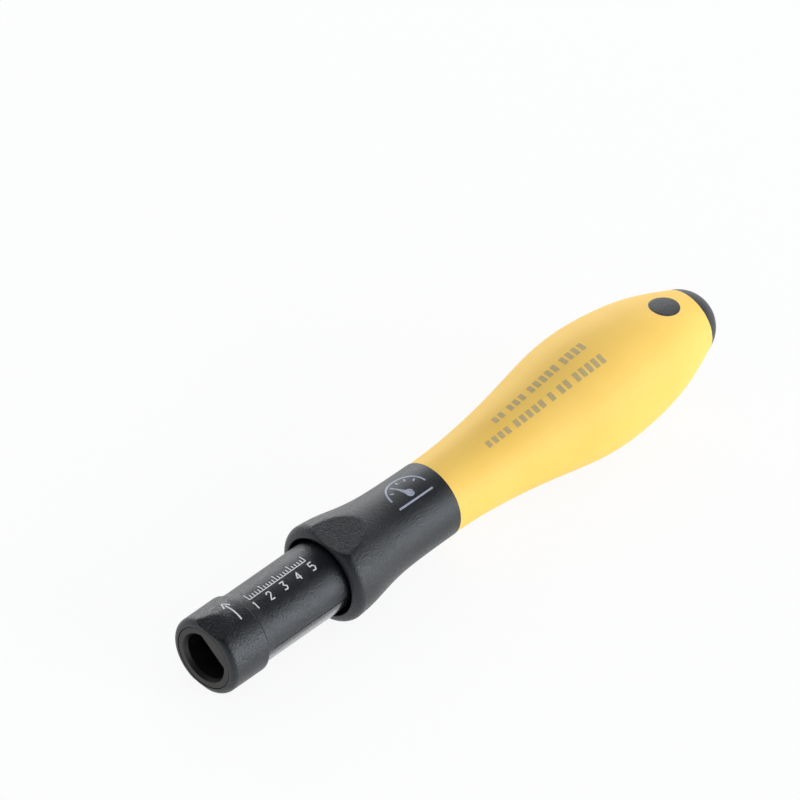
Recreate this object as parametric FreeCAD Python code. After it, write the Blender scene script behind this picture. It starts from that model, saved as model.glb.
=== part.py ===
import FreeCAD, Part
import math
import os

from FreeCAD import Vector

# Adjustable torque screwdriver. Millimetres. The tool lies along X with its nose face at X = 0,
# pointing to +X, so a place "depth" behind the nose is at X = -depth. +Z is the side with the upper
# flats, and angles round the axis are measured from +Y towards +Z.

# ---- driving dimensions ----------------------------------------------------------------------------
overall_length = 126.05      # nose face to the rim of the key hole in the tail

# output spindle: its blade bore is the size that the whole front of the tool is built out from
blade_bore_radius = 4.5
blade_bore_depth = 10.5
blade_flat_height = 3.4      # axis to the flat of the D-shaped bore
blade_flat_angle = 60.0
blade_lead_in = 0.45
blade_clip_depth = 6.0
blade_clip_height = 0.45
spindle_wall = 1.07
spindle_tail = 1.0           # spindle behind its retaining ring
journal_length = 9.85        # bearing length in the barrel, behind the flange
flange_length = 2.5
flange_edge_radius = 0.25
stub_radius = 2.6            # spindle end that carries the driven cam
stub_flat_height = 2.1

# barrel
bearing_step = 0.38          # how much wider the bore is behind the bearing
barrel_wall = 0.9
ring_step = 0.65             # how far the thick ring at the nose stands above the tube
ring_lip = 1.4               # ring wall round the spindle's flange
ring_length = 8.7
ring_edge_radius = 1.2       # rounding of the ring's front edge
ring_flat_land = 0.45        # wall left between the flange and a ring flat, at the nose
ring_flat_run = 4.3          # length over which a ring flat runs out
shoulder_chamfer = 0.5       # steep step behind the ring
shoulder_rise = 0.2          # soft cone after it
shoulder_length = 1.8
anchor_setback = 5.2         # groove that locks the barrel in the moulded handle, from the barrel's end
anchor_length = 1.6
anchor_depth = 0.25

# retaining rings
circlip_thickness = 0.7
circlip_groove_depth = 0.55
circlip_stand_out = 0.28
circlip_gap_half_angle = 16.0

# ball clutch, at the crest of a slip: the balls roll in the driven cam's race, above its pockets
ball_radius = 1.0
ball_count = 8
race_depth = 0.3
pocket_depth = 0.35          # how far a pocket goes below the race, and so how far the plate lifts
ball_stand_out = 0.25        # ball centres in front of the pressure cam's face
driven_cam_length = 2.1
pressure_cam_length = 2.1
cam_clearance = 0.25

# keys that slide in the barrel
key_width = 2.0
key_depth = 0.47

# spring stack
washer_thickness = 0.6
washer_margin = 0.3          # how much wider than the spring wire a washer is, each way
spring_wire_radius = 0.55
spring_clearance = 0.35      # between a spring washer and the scale sleeve round it
spring_length = 12.9
spring_turns = 6.5
seat_thickness = 0.8

# adjusting nut, scale and screw
nut_length = 5.6
nut_spigot_length = 2.2
nut_travel = 3.0             # each way from the middle setting
nut_margin = 0.95            # between the nut at its rear limit and the screw's collar
scale_wall = 0.5
scale_step = 0.05            # how far the scale lies below the nut's outside
scale_reach = 10.0           # how far the scale sleeve reaches in front of the nut
scale_retainer_radius = 0.25
thread_radius = 2.5
thread_chamfer = 0.4
screw_front_reach = 8.5      # threaded end in front of the nut
screw_collar_radius = 4.6
screw_collar_length = 1.8
screw_journal_radius = 3.2
screw_tail = 6.4             # socket end of the screw behind its retaining ring
setting_hex_across_flats = 4.0
setting_hex_depth = 4.6
thrust_washer_thickness = 0.8
thrust_washer_margin = 0.4
plug_length = 5.1
plug_wall = 1.0              # how much wider than the screw's collar the plug is
friction_ring_radius = 0.55

# window in the barrel's side
window_angle = -22.0
window_half_angle = 27.0
slot_half_angle = 15.0
slot_margin = 1.65           # slot in front of the scale sleeve at its front limit
slot_length = 12.0
lens_thickness = 0.55
lens_side_clearance = 0.15   # degrees, each side
lens_tuck = 2.0              # lens behind the slot, under the collar

# handle core
collar_cover = 1.85          # how much of the slot the collar hides
collar_gap = 0.75            # open ring between the barrel and the collar
collar_wall = 1.95
collar_edge_radius = 1.85
collar_hollow_length = 6.4
collar_flat_land = 0.75      # wall left over the hollow at a collar flat, at the front edge
collar_flat_tilt = 1.0       # degrees, rising towards the grip
collar_length = 28.15        # collar's front edge to where the soft grip starts
neck_wall = 0.45             # neck over the barrel
key_bore_radius = 3.4
rib_count = 4                # ribs that lock the soft grip to the core
rib_width = 1.8
rib_height = 0.7
rib_setback = 14.7           # ribs start this far behind the grip's front end
rib_tail = 10.4              # and end this far in front of its rear end

# soft grip and tail
waist_step = 0.1             # how far the grip's front end lies below the neck
grip_radius = 11.6
grip_swell = 40.7            # grip's front end to its thickest place
tail_radius = 6.35           # where the grip meets the end cap
cap_length = 3.65            # part of the end cap behind the grip
cap_rim = 0.05               # flat rim round the key hole
cap_spigot_radius = 4.6
cap_spigot_length = 7.0
skin_at_waist = 1.0
skin_at_peak = 2.0
skin_at_tail = 0.9
badge_setback = 7.0          # inlay's centre, in front of the grip's rear end
badge_length = 7.0
badge_width = 5.4

# clearances
running_clearance = 0.05
slide_clearance = 0.2
axial_clearance = 0.05
seat_clearance = 0.02

os.makedirs("parts", exist_ok=True)

AXIS = Vector(1, 0, 0)
ORIGIN = Vector(0, 0, 0)
FAR = 30.0                   # cutters reach this far past what they cut


# ---- shape helpers ---------------------------------------------------------------------------------
def point(depth, radius):
    """A profile point in the XZ half plane."""
    return Vector(-depth, 0, radius)


def revolved(edges):
    """Solid of revolution of closed profile edges about the tool's axis."""
    face = Part.Face(Part.Wire(Part.__sortEdges__(edges)))
    solid = face.revolve(ORIGIN, AXIS, 360)
    if solid.Volume < 0:
        solid.reverse()
    return solid


def turned(*profile):
    """Solid of revolution of a closed polygon of (depth, radius) corners."""
    corners = [point(depth, radius) for depth, radius in profile]
    return revolved(Part.makePolygon(corners + corners[:1]).Edges)


def tube(start, end, outer, inner=0.0):
    """Plain tube or disc between two depths."""
    return turned((start, inner), (start, outer), (end, outer), (end, inner))


def under_curve(profile):
    """Solid of revolution under a smooth curve through (depth, radius) points."""
    points = [point(depth, radius) for depth, radius in profile]
    curve = Part.BSplineCurve()
    curve.interpolate(points)
    first, last = points[0], points[-1]
    corners = [first, Vector(first.x, 0, 0), Vector(last.x, 0, 0), last]
    return revolved([curve.toShape()] + Part.makePolygon(corners).Edges)


def eased(start, end, first_radius, last_radius, shares):
    """Profile points between two stations, from shares of the way along and of the change in radius."""
    return [(start + (end - start) * along, first_radius + (last_radius - first_radius) * rise)
            for along, rise in shares]


def circle_edge(shape, depth, radius):
    """The shape's full circular edge nearest to a depth and radius."""
    circles = [edge for edge in shape.Edges
               if isinstance(edge.Curve, Part.Circle) and len(edge.Vertexes) == 1]
    return min(circles, key=lambda edge: abs(edge.Curve.Center.x + depth) + abs(edge.Curve.Radius - radius))


def spin(shape, angle):
    """Copy of a shape turned round the tool's axis."""
    copy = shape.copy()
    copy.rotate(ORIGIN, AXIS, angle)
    return copy


def wedge(start, end, outer, inner, middle_angle, half_angle):
    """Part of a tube between two angles round the axis, measured from +Y towards +Z."""
    corners = [point(start, inner), point(start, outer), point(end, outer), point(end, inner)]
    face = Part.Face(Part.makePolygon(corners + corners[:1]))
    face.rotate(ORIGIN, AXIS, middle_angle - half_angle - 90)
    solid = face.revolve(ORIGIN, AXIS, 2 * half_angle)
    if solid.Volume < 0:
        solid.reverse()
    return solid


def bar(start, end, width, height):
    """Rectangular bar along the tool, from its axis up to a height above it."""
    return Part.makeBox(end - start, width, height, Vector(-end, -width / 2, 0))


def both_sides(shape):
    """A shape and its copy on the other side of the axis."""
    return [shape, spin(shape, 180)]


def hexagon(start, end, across_flats):
    """Hexagonal prism along the axis."""
    corner = across_flats / math.sqrt(3)
    angles = [math.radians(60 * i) for i in range(7)]
    corners = [Vector(-start, corner * math.cos(a), corner * math.sin(a)) for a in angles]
    return Part.Face(Part.makePolygon(corners)).extrude(Vector(start - end, 0, 0))


def retaining_ring(start, inner, outer, open_angle):
    """Flat spring ring with a gap between its ends."""
    end = start + circlip_thickness
    gap = wedge(start - 1, end + 1, outer + 1, inner / 2, open_angle, circlip_gap_half_angle)
    return tube(start, end, outer, inner).cut(gap)


nodes = {}

# ---- radii, from the blade bore out ----------------------------------------------------------------
journal_radius = blade_bore_radius + spindle_wall
barrel_bore_radius = journal_radius + bearing_step
barrel_radius = barrel_bore_radius + barrel_wall
ring_radius = barrel_radius + ring_step
flange_radius = ring_radius - ring_lip
ring_flat_height = flange_radius + ring_flat_land
key_groove_radius = barrel_bore_radius + key_depth
cam_radius = barrel_bore_radius - cam_clearance
ball_pitch_radius = (cam_radius + stub_radius) / 2
nut_radius = barrel_bore_radius - slide_clearance
scale_radius = nut_radius - scale_step
nut_spigot_radius = scale_radius - scale_wall
spring_outer = nut_spigot_radius - spring_clearance - washer_margin
spring_mean_radius = spring_outer - spring_wire_radius
spring_inner = spring_mean_radius - spring_wire_radius
plug_radius = screw_collar_radius + plug_wall
collar_hollow_radius = barrel_radius + collar_gap
collar_radius = collar_hollow_radius + collar_wall
collar_flat_height = collar_hollow_radius + collar_flat_land
neck_radius = barrel_radius + neck_wall
waist_radius = neck_radius - waist_step

# ---- stations along the axis, from the nose back --------------------------------------------------
shoulder_start = ring_length + shoulder_chamfer
bearing_start = flange_length + axial_clearance
bearing_end = bearing_start + journal_length
circlip_start = bearing_end + axial_clearance
circlip_end = circlip_start + circlip_thickness
spindle_shoulder = circlip_end + spindle_tail
driven_end = spindle_shoulder + driven_cam_length
ball_depth = driven_end - race_depth + running_clearance + ball_radius
pressure_start = ball_depth + ball_stand_out
pressure_end = pressure_start + pressure_cam_length
key_groove_start = pressure_start - pocket_depth - slide_clearance
spring_start = pressure_end + washer_thickness
spring_end = spring_start + spring_length
nut_start = spring_end + seat_thickness
spigot_end = nut_start + nut_spigot_length
nut_end = nut_start + nut_length
barrel_length = nut_end + nut_travel + nut_margin
anchor_start = barrel_length - anchor_setback
screw_collar_start = barrel_length + axial_clearance
screw_collar_end = screw_collar_start + screw_collar_length
thrust_start = screw_collar_end + axial_clearance
plug_start = thrust_start + thrust_washer_thickness
plug_end = plug_start + plug_length
screw_ring_start = plug_end + axial_clearance
screw_ring_end = screw_ring_start + circlip_thickness
screw_end = screw_ring_end + screw_tail
slot_start = nut_start - scale_reach - nut_travel - slot_margin
slot_end = slot_start + slot_length
window_start = shoulder_start - seat_clearance
window_end = slot_end + lens_tuck
collar_front = slot_end - collar_cover
collar_crest = collar_front + collar_edge_radius
collar_floor = collar_front + collar_hollow_length
collar_end = collar_front + collar_length
grip_peak = collar_end + grip_swell
grip_end = overall_length - cap_length
rib_start = collar_end + rib_setback
rib_end = grip_end - rib_tail
badge_depth = grip_end - badge_setback

# ---- barrel: nose ring, tube, window recess and slot, key grooves ---------------------------------
outer = turned((0, 0), (0, ring_radius), (ring_length, ring_radius),
               (shoulder_start, barrel_radius + shoulder_rise),
               (shoulder_start + shoulder_length, barrel_radius),
               (barrel_length, barrel_radius), (barrel_length, 0))
outer = outer.makeFillet(ring_edge_radius, [circle_edge(outer, 0, ring_radius)])
anchor_groove = tube(anchor_start, anchor_start + anchor_length, barrel_radius + 1,
                     barrel_radius - anchor_depth)
key_groove = bar(key_groove_start, barrel_length + 1, key_width, key_groove_radius)
window_recess = wedge(window_start, window_end, barrel_radius + 1, barrel_radius - lens_thickness,
                      window_angle, window_half_angle)
window_slot = wedge(slot_start, slot_end, barrel_radius + 1, barrel_bore_radius - 1,
                    window_angle, slot_half_angle)
ring_flat = Part.makeBox(2 * FAR, 2 * FAR, FAR, Vector(-FAR, -FAR, 0))
ring_flat.rotate(ORIGIN, Vector(0, 1, 0), math.degrees(math.atan2(ring_radius - ring_flat_height,
                                                                   ring_flat_run)))
ring_flat.translate(Vector(0, 0, ring_flat_height))
nodes["barrel"] = outer.cut([
    tube(-1, bearing_start, flange_radius + running_clearance),
    tube(0, bearing_end, journal_radius + running_clearance),
    tube(bearing_end, barrel_length + 1, barrel_bore_radius),
    anchor_groove, window_recess, window_slot,
] + both_sides(key_groove) + both_sides(ring_flat))

# ---- window lens: clear strip flush with the barrel -----------------------------------------------
nodes["window_lens"] = wedge(window_start + seat_clearance, window_end - seat_clearance, barrel_radius,
                             barrel_radius - lens_thickness, window_angle,
                             window_half_angle - lens_side_clearance)

# ---- output spindle: flange, journal, D-shaped blade bore and cam stub ----------------------------
groove_floor = journal_radius - circlip_groove_depth
spindle = turned((0, 0), (0, flange_radius), (flange_length, flange_radius),
                 (flange_length, journal_radius), (circlip_start, journal_radius),
                 (circlip_start, groove_floor), (circlip_end, groove_floor),
                 (circlip_end, journal_radius), (spindle_shoulder, journal_radius),
                 (spindle_shoulder, 0))
spindle = spindle.makeFillet(flange_edge_radius, [circle_edge(spindle, 0, flange_radius)])
stub_flats = Part.makeBox(2 * FAR, 2 * stub_radius, 2 * stub_flat_height,
                          Vector(-2 * FAR, -stub_radius, -stub_flat_height))
stub = tube(spindle_shoulder, driven_end - axial_clearance, stub_radius).common(stub_flats)
d_shape = Part.makeBox(2 * FAR, 2 * FAR, FAR + blade_flat_height, Vector(-FAR, -FAR, -FAR))
d_shape = spin(d_shape, blade_flat_angle - 90)
drill_point = blade_bore_radius * 0.3
blade_bore = turned((-1, 0), (-1, blade_bore_radius), (blade_bore_depth, blade_bore_radius),
                    (blade_bore_depth + drill_point, 0)).common(d_shape)
lead_in = turned((-0.01, 0), (-0.01, blade_bore_radius + blade_lead_in),
                 (2 * blade_lead_in, blade_bore_radius), (2 * blade_lead_in, 0)).common(d_shape)
clip_groove = tube(blade_clip_depth - axial_clearance,
                   blade_clip_depth + circlip_thickness + axial_clearance,
                   blade_bore_radius + blade_clip_height + seat_clearance)
nodes["output_spindle"] = spindle.fuse(stub).cut([blade_bore, lead_in, clip_groove])

# ---- blade clip and spindle circlip ----------------------------------------------------------------
nodes["blade_clip"] = retaining_ring(blade_clip_depth, blade_bore_radius + seat_clearance,
                                     blade_bore_radius + blade_clip_height, blade_flat_angle + 180)
nodes["spindle_circlip"] = retaining_ring(circlip_start, groove_floor, journal_radius + circlip_stand_out,
                                          180)

# ---- ball clutch: driven cam with its race and pockets, balls, sliding pressure cam ---------------
def balls(radius, depth):
    """One sphere for each pocket on the pitch circle."""
    step = 360 / ball_count
    centre = Vector(-depth, 0, ball_pitch_radius)
    return [spin(Part.makeSphere(radius, centre), step * (i + 0.5)) for i in range(ball_count)]


pocket_radius = ball_radius + running_clearance
race = Part.makeTorus(ball_pitch_radius, pocket_radius, Vector(-ball_depth, 0, 0), AXIS)
driven_pockets = balls(pocket_radius, ball_depth - pocket_depth)
stub_hole = tube(spindle_shoulder - 1, driven_end + 1, stub_radius).common(stub_flats)
nodes["driven_cam"] = tube(spindle_shoulder, driven_end, cam_radius).cut([stub_hole, race] + driven_pockets)
nodes["clutch_balls"] = Part.makeCompound(balls(ball_radius, ball_depth))

tongue_width = key_width - 2 * running_clearance
tongue_reach = key_groove_radius - running_clearance
pressure_tongue = bar(pressure_start, pressure_end, tongue_width, tongue_reach)
pressure_disc = tube(pressure_start, pressure_end, cam_radius)
pressure_hole = tube(pressure_start - 1, pressure_end + 1, stub_radius)
pressure_pockets = balls(ball_radius + seat_clearance, ball_depth)
nodes["pressure_cam"] = pressure_disc.fuse(both_sides(pressure_tongue)).cut([pressure_hole] + pressure_pockets)

# ---- spring, its washer and its seat ---------------------------------------------------------------
nodes["spring_washer"] = tube(pressure_end, spring_start, spring_outer + washer_margin,
                              spring_inner - washer_margin)
nodes["spring_seat"] = tube(spring_end, nut_start, spring_outer + washer_margin,
                            spring_inner - washer_margin)

coil_length = spring_length - 2 * (spring_wire_radius + seat_clearance)
helix = Part.Wire(Part.makeHelix(coil_length / spring_turns, coil_length, spring_mean_radius))
section = Part.Wire(Part.makeCircle(spring_wire_radius, Vector(spring_mean_radius, 0, 0), Vector(0, 1, 0)))
spring = helix.makePipeShell([section], True, True)
spring.rotate(ORIGIN, Vector(0, 1, 0), -90)
spring.translate(Vector(-spring_start - seat_clearance - spring_wire_radius, 0, 0))
nodes["main_spring"] = spring

# ---- adjusting nut, the scale sleeve on its spigot and the wire ring between them -----------------
nut_tongue = bar(spigot_end, nut_end, tongue_width, tongue_reach)
retainer_centre = Vector(-(nut_start + nut_spigot_length / 3), 0, 0)
retainer_groove = Part.makeTorus(nut_spigot_radius, scale_retainer_radius, retainer_centre, AXIS)
nut = turned((nut_start, 0), (nut_start, nut_spigot_radius), (spigot_end, nut_spigot_radius),
             (spigot_end, nut_radius), (nut_end, nut_radius), (nut_end, 0))
nodes["adjusting_nut"] = nut.fuse(both_sides(nut_tongue)).cut([
    tube(nut_start - 1, nut_end + 1, thread_radius + running_clearance), retainer_groove])
nodes["scale_sleeve"] = tube(nut_start - scale_reach, spigot_end, scale_radius,
                             nut_spigot_radius).cut(retainer_groove)
nodes["scale_retainer"] = Part.makeTorus(nut_spigot_radius, scale_retainer_radius - seat_clearance,
                                         retainer_centre, AXIS)

# ---- adjusting screw: thread, thrust collar, journal and hex socket -------------------------------
screw_front = nut_start - screw_front_reach
screw_floor = screw_journal_radius - circlip_groove_depth
screw = turned((screw_front, 0), (screw_front, thread_radius), (screw_collar_start, thread_radius),
               (screw_collar_start, screw_collar_radius), (screw_collar_end, screw_collar_radius),
               (screw_collar_end, screw_journal_radius), (screw_ring_start, screw_journal_radius),
               (screw_ring_start, screw_floor), (screw_ring_end, screw_floor),
               (screw_ring_end, screw_journal_radius), (screw_end, screw_journal_radius), (screw_end, 0))
screw = screw.makeChamfer(thread_chamfer, [circle_edge(screw, screw_front, thread_radius)])
nodes["adjusting_screw"] = screw.cut(hexagon(screw_end - setting_hex_depth, screw_end + 1,
                                             setting_hex_across_flats))

# ---- bearing plug, thrust washer, friction ring and the screw's retaining ring --------------------
ring_depth = (plug_start + plug_end) / 2
ring_reach = friction_ring_radius + 0.1
plug_groove = tube(ring_depth - ring_reach, ring_depth + ring_reach, screw_journal_radius + 2 * ring_reach)
nodes["bearing_plug"] = tube(plug_start, plug_end, plug_radius,
                             screw_journal_radius + running_clearance).cut(plug_groove)
nodes["thrust_washer"] = tube(thrust_start, plug_start, screw_collar_radius + thrust_washer_margin,
                              screw_journal_radius + slide_clearance)
nodes["friction_ring"] = Part.makeTorus(screw_journal_radius + friction_ring_radius, friction_ring_radius,
                                        Vector(-ring_depth, 0, 0), AXIS)
nodes["screw_circlip"] = retaining_ring(screw_ring_start, screw_floor,
                                        screw_journal_radius + circlip_stand_out, 0)

# ---- handle core: collar with two flats, neck, ribbed body under the grip, key bore ---------------
collar_shares = [(0, 0), (0.13, 0.147), (0.29, 0.489), (0.456, 0.787), (0.684, 0.947), (1, 1)]
swell_shares = [(0, 0), (0.128, 0.027), (0.312, 0.155), (0.509, 0.386), (0.705, 0.7), (0.853, 0.92)]
fall_shares = [(0, 0), (0.328, 0.11), (0.656, 0.415), (1, 1)]


def grip_profile(waist_cut, peak_cut, tail_cut):
    """The grip's outline, lowered by a skin that changes along its length."""
    swell = eased(collar_end, grip_peak, waist_radius - waist_cut, grip_radius - peak_cut, swell_shares)
    fall = eased(grip_peak, grip_end, grip_radius - peak_cut, tail_radius - tail_cut, fall_shares)
    return swell + fall


collar = under_curve(eased(collar_crest, collar_end, collar_radius, neck_radius, collar_shares))
lip = tube(collar_front, collar_crest, collar_radius)
lip = lip.makeFillet(collar_edge_radius - 0.01, [circle_edge(lip, collar_front, collar_radius)])
core_body = under_curve(grip_profile(skin_at_waist, skin_at_peak, skin_at_tail))
rib_envelope = under_curve(grip_profile(skin_at_waist - rib_height, skin_at_peak - rib_height,
                                        skin_at_tail - rib_height))
rib = bar(rib_start, rib_end, rib_width, grip_radius)
ribs = [spin(rib, 360 / rib_count * (i + 0.5)).common(rib_envelope) for i in range(rib_count)]
collar_flat = Part.makeBox(collar_end - collar_front + FAR, 2 * FAR, FAR,
                           Vector(collar_front - collar_end, -FAR, 0))
collar_flat.rotate(ORIGIN, Vector(0, 1, 0), collar_flat_tilt)
collar_flat.translate(Vector(-collar_front, 0, collar_flat_height))
anchor_rib = tube(anchor_start, anchor_start + anchor_length, barrel_radius + 0.5,
                  barrel_radius - anchor_depth)
core = collar.fuse([lip, core_body] + ribs).cut([
    tube(collar_front - 1, collar_floor, collar_hollow_radius),
    tube(collar_floor - 1, barrel_length, barrel_radius),
    tube(barrel_length - 1, plug_end, plug_radius),
    tube(plug_end - 1, screw_ring_end + slide_clearance, screw_collar_radius),
    tube(screw_ring_end, screw_end + slide_clearance, screw_journal_radius + 2 * slide_clearance),
    tube(screw_end, overall_length + 1, key_bore_radius),
    tube(grip_end - cap_spigot_length, overall_length + 1, cap_spigot_radius),
] + both_sides(collar_flat))
nodes["handle_core"] = core.fuse(anchor_rib)

# ---- soft grip, inlay and end cap ------------------------------------------------------------------
badge_outline = Part.Ellipse(Vector(-badge_depth, 0, 0), badge_length / 2, badge_width / 2).toShape()
badge_prism = Part.Face(Part.Wire(badge_outline)).extrude(Vector(0, 0, FAR))
skin = under_curve(grip_profile(0, 0, 0)).cut([core_body] + ribs)
nodes["grip_badge"] = skin.common(badge_prism)
nodes["grip_sleeve"] = skin.cut(badge_prism)

rim_radius = key_bore_radius + cap_rim
dome_centre = ((overall_length ** 2 + rim_radius ** 2) - (grip_end ** 2 + tail_radius ** 2)) / (2 * cap_length)
dome_radius = math.hypot(overall_length - dome_centre, rim_radius)
middle_angle = (math.atan2(tail_radius, grip_end - dome_centre)
                + math.atan2(rim_radius, overall_length - dome_centre)) / 2
dome_middle = point(dome_centre + dome_radius * math.cos(middle_angle), dome_radius * math.sin(middle_angle))
dome_arc = Part.Arc(point(grip_end, tail_radius), dome_middle, point(overall_length, rim_radius)).toShape()
dome_sides = Part.makePolygon([point(grip_end, tail_radius), point(grip_end, 0), point(overall_length, 0),
                               point(overall_length, rim_radius)]).Edges
spigot = tube(grip_end - cap_spigot_length, grip_end, cap_spigot_radius)
nodes["end_cap"] = revolved([dome_arc] + dome_sides).fuse(spigot).cut(
    tube(grip_end - cap_spigot_length - 1, overall_length + 1, key_bore_radius))

# ---- one file for each piece -----------------------------------------------------------------------
for name, shape in nodes.items():
    solids = [solid.removeSplitter() for solid in shape.Solids]
    piece = solids[0] if len(solids) == 1 else Part.makeCompound(solids)
    piece.exportStep("parts/" + name + ".step")
    print(name, len(solids), "solid" if piece.isValid() else "NOT VALID", round(piece.Volume, 1))
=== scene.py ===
import math

import bmesh
import bpy
import numpy as np
from mathutils import Matrix, Vector


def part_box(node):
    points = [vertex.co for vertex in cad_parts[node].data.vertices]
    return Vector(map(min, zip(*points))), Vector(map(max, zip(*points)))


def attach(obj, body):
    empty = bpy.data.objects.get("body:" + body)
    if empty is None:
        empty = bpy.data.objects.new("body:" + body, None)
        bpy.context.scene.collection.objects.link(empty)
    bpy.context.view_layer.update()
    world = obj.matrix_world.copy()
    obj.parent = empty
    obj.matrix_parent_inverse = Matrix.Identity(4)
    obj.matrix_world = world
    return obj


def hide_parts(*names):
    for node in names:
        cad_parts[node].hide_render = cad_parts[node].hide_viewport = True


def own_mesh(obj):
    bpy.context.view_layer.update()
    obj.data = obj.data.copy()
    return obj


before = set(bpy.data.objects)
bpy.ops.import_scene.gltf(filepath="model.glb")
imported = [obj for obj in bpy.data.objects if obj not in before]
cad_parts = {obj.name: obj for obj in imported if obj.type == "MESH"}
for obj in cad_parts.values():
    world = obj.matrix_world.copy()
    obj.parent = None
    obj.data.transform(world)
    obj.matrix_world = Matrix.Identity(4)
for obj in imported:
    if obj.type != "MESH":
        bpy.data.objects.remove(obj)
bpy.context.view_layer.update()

# ---- output spindle --------------------------------------------------------------------------------
# The steel core that takes the blade: a flange flush with the nose, a journal that turns in the barrel
# and a stub with two flats. Turned from bar, with a D-shaped bore broached into its front.
MM = 0.001
HAIR = 0.01
PLAY = 0.05
TOLERANCE = 1e-6
GRAZING = 0.02
FAR_RADIUS = 999.0


def depths(node):
    """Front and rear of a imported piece, in millimetres behind the nose face."""
    low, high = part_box(node)
    return -high.x / MM, -low.x / MM


def reach(node):
    """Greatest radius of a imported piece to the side, in millimetres."""
    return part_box(node)[1].y / MM


def rounded(corners, arc_steps=5):
    """Profile of (depth, radius) points through (depth, radius, rounding) corners.

    A corner with a rounding becomes an arc tangent to both runs: its centre lies on the bisector at
    rounding / sin(half the corner's angle), and its points are spread evenly from one tangent point to
    the other. One more point beyond each end keeps the shading of the straight runs flat.
    """
    places = np.array([corner[:2] for corner in corners], float)
    profile = []
    for i, (depth, radius, rounding) in enumerate(corners):
        if not rounding or i in (0, len(corners) - 1):
            profile.append([(depth, radius)])
            continue
        back = places[i - 1] - places[i]
        ahead = places[i + 1] - places[i]
        shorter = min(np.hypot(*back), np.hypot(*ahead))
        back /= np.hypot(*back)
        ahead /= np.hypot(*ahead)
        half = math.acos(np.clip(back @ ahead, -1, 1)) / 2
        tangent = rounding / math.tan(half)
        bisector = (back + ahead) / np.hypot(*(back + ahead))
        centre = places[i] + bisector * rounding / math.sin(half)
        first = places[i] + back * tangent - centre
        last = places[i] + ahead * tangent - centre
        sweep = math.pi - 2 * half
        share = np.linspace(0, 1, arc_steps + 1)[:, None]
        arc = centre + (np.sin((1 - share) * sweep) * first + np.sin(share * sweep) * last) / math.sin(sweep)
        support = min(0.4 * rounding, 0.4 * (shorter - tangent))
        profile.append([places[i] + back * (tangent + support)])
        profile.append(arc)
        profile.append([places[i] + ahead * (tangent + support)])
    return np.vstack(profile)


def spaced(profile, step):
    """The same profile with each straight run cut into equal parts no longer than a step."""
    runs = np.diff(profile, axis=0)
    parts = np.maximum(1, np.ceil(np.hypot(*runs.T) / step - TOLERANCE)).astype(int)
    run = np.repeat(np.arange(len(parts)), parts)
    share = (np.arange(len(run)) - np.repeat(np.cumsum(parts) - parts, parts)) / parts[run]
    return np.vstack([profile[run] + share[:, None] * runs[run], profile[-1:]])


def soft_min(first, second, blend):
    """Smooth minimum: the mean of two values less half the root of their difference and blend squared."""
    return (first + second - np.sqrt((first - second) ** 2 + blend ** 2)) / 2


def flat_radius(height, angles, facing):
    """Polar radius of a plane at a height from the axis: height / cos of the angle from where it faces."""
    turn = np.cos(angles - facing)
    return np.where(turn > GRAZING, height / np.maximum(turn, GRAZING), FAR_RADIUS)


def turned_grid(depth, radius, angles):
    """Grid of points of a turned form: x = -depth, y = radius cos(angle), z = radius sin(angle)."""
    depth, radius, angles = np.broadcast_arrays(depth, radius, angles)
    return np.stack([-depth, radius * np.cos(angles), radius * np.sin(angles)], axis=-1)


def grid_faces(rows, columns, wrap_rows=True, wrap_columns=True):
    """Corner numbers of the quads between neighbours on a grid, closed round its rows or columns."""
    row, column = np.meshgrid(np.arange(rows - (not wrap_rows)), np.arange(columns - (not wrap_columns)),
                              indexing="ij")
    next_row, next_column = (row + 1) % rows, (column + 1) % columns
    return np.stack([row * columns + column, row * columns + next_column,
                     next_row * columns + next_column, next_row * columns + column], axis=-1)


SAME_POINT = 2e-7
SHORTEST_EDGE = 1e-7
SHARP_ANGLE = math.radians(35)


def piece(name, points, faces, finish, body):
    """Object at the origin with a mesh of points in millimetres, doubles merged and faces outwards."""
    mesh = bpy.data.meshes.new(name)
    mesh.from_pydata(points.reshape(-1, 3) * MM, [], faces.reshape(-1, faces.shape[-1]))
    work = bmesh.new()
    work.from_mesh(mesh)
    bmesh.ops.remove_doubles(work, verts=work.verts, dist=SAME_POINT)
    bmesh.ops.dissolve_degenerate(work, edges=work.edges, dist=SHORTEST_EDGE)
    bmesh.ops.recalc_face_normals(work, faces=work.faces)
    work.to_mesh(mesh)
    work.free()
    mesh.shade_smooth()
    mesh.set_sharp_from_angle(angle=SHARP_ANGLE)
    made = bpy.data.objects.new(name, mesh)
    bpy.context.scene.collection.objects.link(made)
    made.data.materials.append(finish)
    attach(made, body)
    return made


def material(name, roughness, metallic=0.0, ior=1.45, specular=0.5):
    """New principled material; returns it with its tree and shader. Plain values sit on the shader."""
    made = bpy.data.materials.new(name)
    made.use_nodes = True
    tree = made.node_tree
    shader = tree.nodes["Principled BSDF"]
    shader.inputs["Roughness"].default_value = roughness
    shader.inputs["Metallic"].default_value = metallic
    shader.inputs["IOR"].default_value = ior
    shader.inputs["Specular IOR Level"].default_value = specular
    return made, tree, shader


def add(tree, kind, sockets=(), **settings):
    """New node with its settings, and its sockets filled with values or linked to other nodes' outputs."""
    node = tree.nodes.new("ShaderNode" + kind)
    for key, value in settings.items():
        setattr(node, key, value)
    for key, value in dict(sockets).items():
        if isinstance(value, bpy.types.NodeSocket):
            tree.links.new(value, node.inputs[key])
        else:
            node.inputs[key].default_value = value
    return node


def placed(tree, stretch=(1, 1, 1)):
    """Object coordinates, stretched along the axes, in metres of the tool's own frame."""
    source = add(tree, "TexCoord").outputs["Object"]
    return add(tree, "Mapping", {"Vector": source, "Scale": stretch}).outputs["Vector"]


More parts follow.
